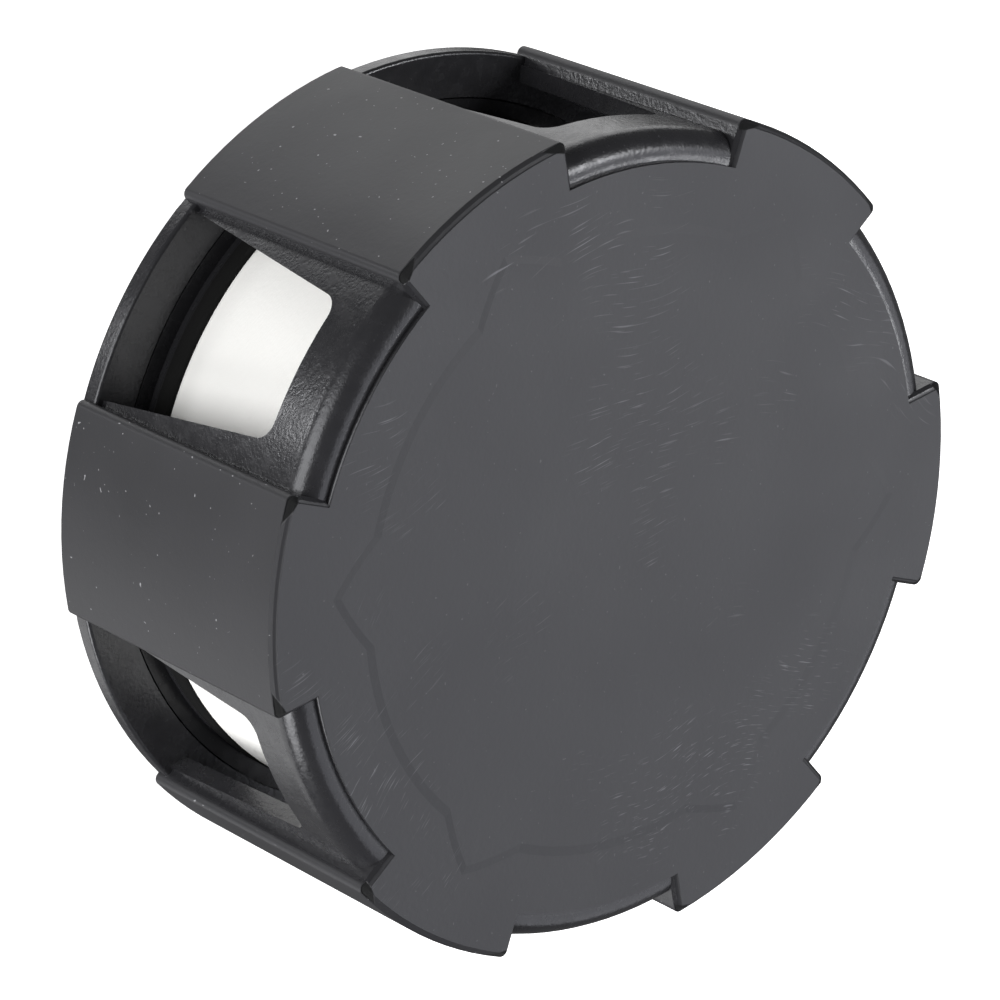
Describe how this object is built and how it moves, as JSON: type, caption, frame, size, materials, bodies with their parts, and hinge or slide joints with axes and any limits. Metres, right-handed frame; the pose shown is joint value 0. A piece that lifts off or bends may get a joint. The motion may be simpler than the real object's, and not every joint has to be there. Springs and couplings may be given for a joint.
{
  "type": "hydraulic filler breather",
  "caption": "Round moulded grip cap with air windows over a filter ring, closed by a base plate with a threaded neck socket.",
  "frame": {"origin": "centre of the rear plane that the cap rests on", "axes": "+Z along the cap's axis, out of the closed face; air windows at 0, 60, 120, 180, 240 and 300 degrees from +X"},
  "size_m": [0.0782, 0.08, 0.0326],
  "materials": {
    "black_nylon": "moulded glass-filled nylon, satin, lightly scratched",
    "seal_rubber": "smooth moulded rubber",
    "filter_felt": "off-white felted fibre"
  },
  "bodies": {
    "root": {"cap_shell": "black_nylon", "base_plate": "black_nylon", "neck_seal": "seal_rubber", "filter_ring": "filter_felt"}
  },
  "joints": []
}
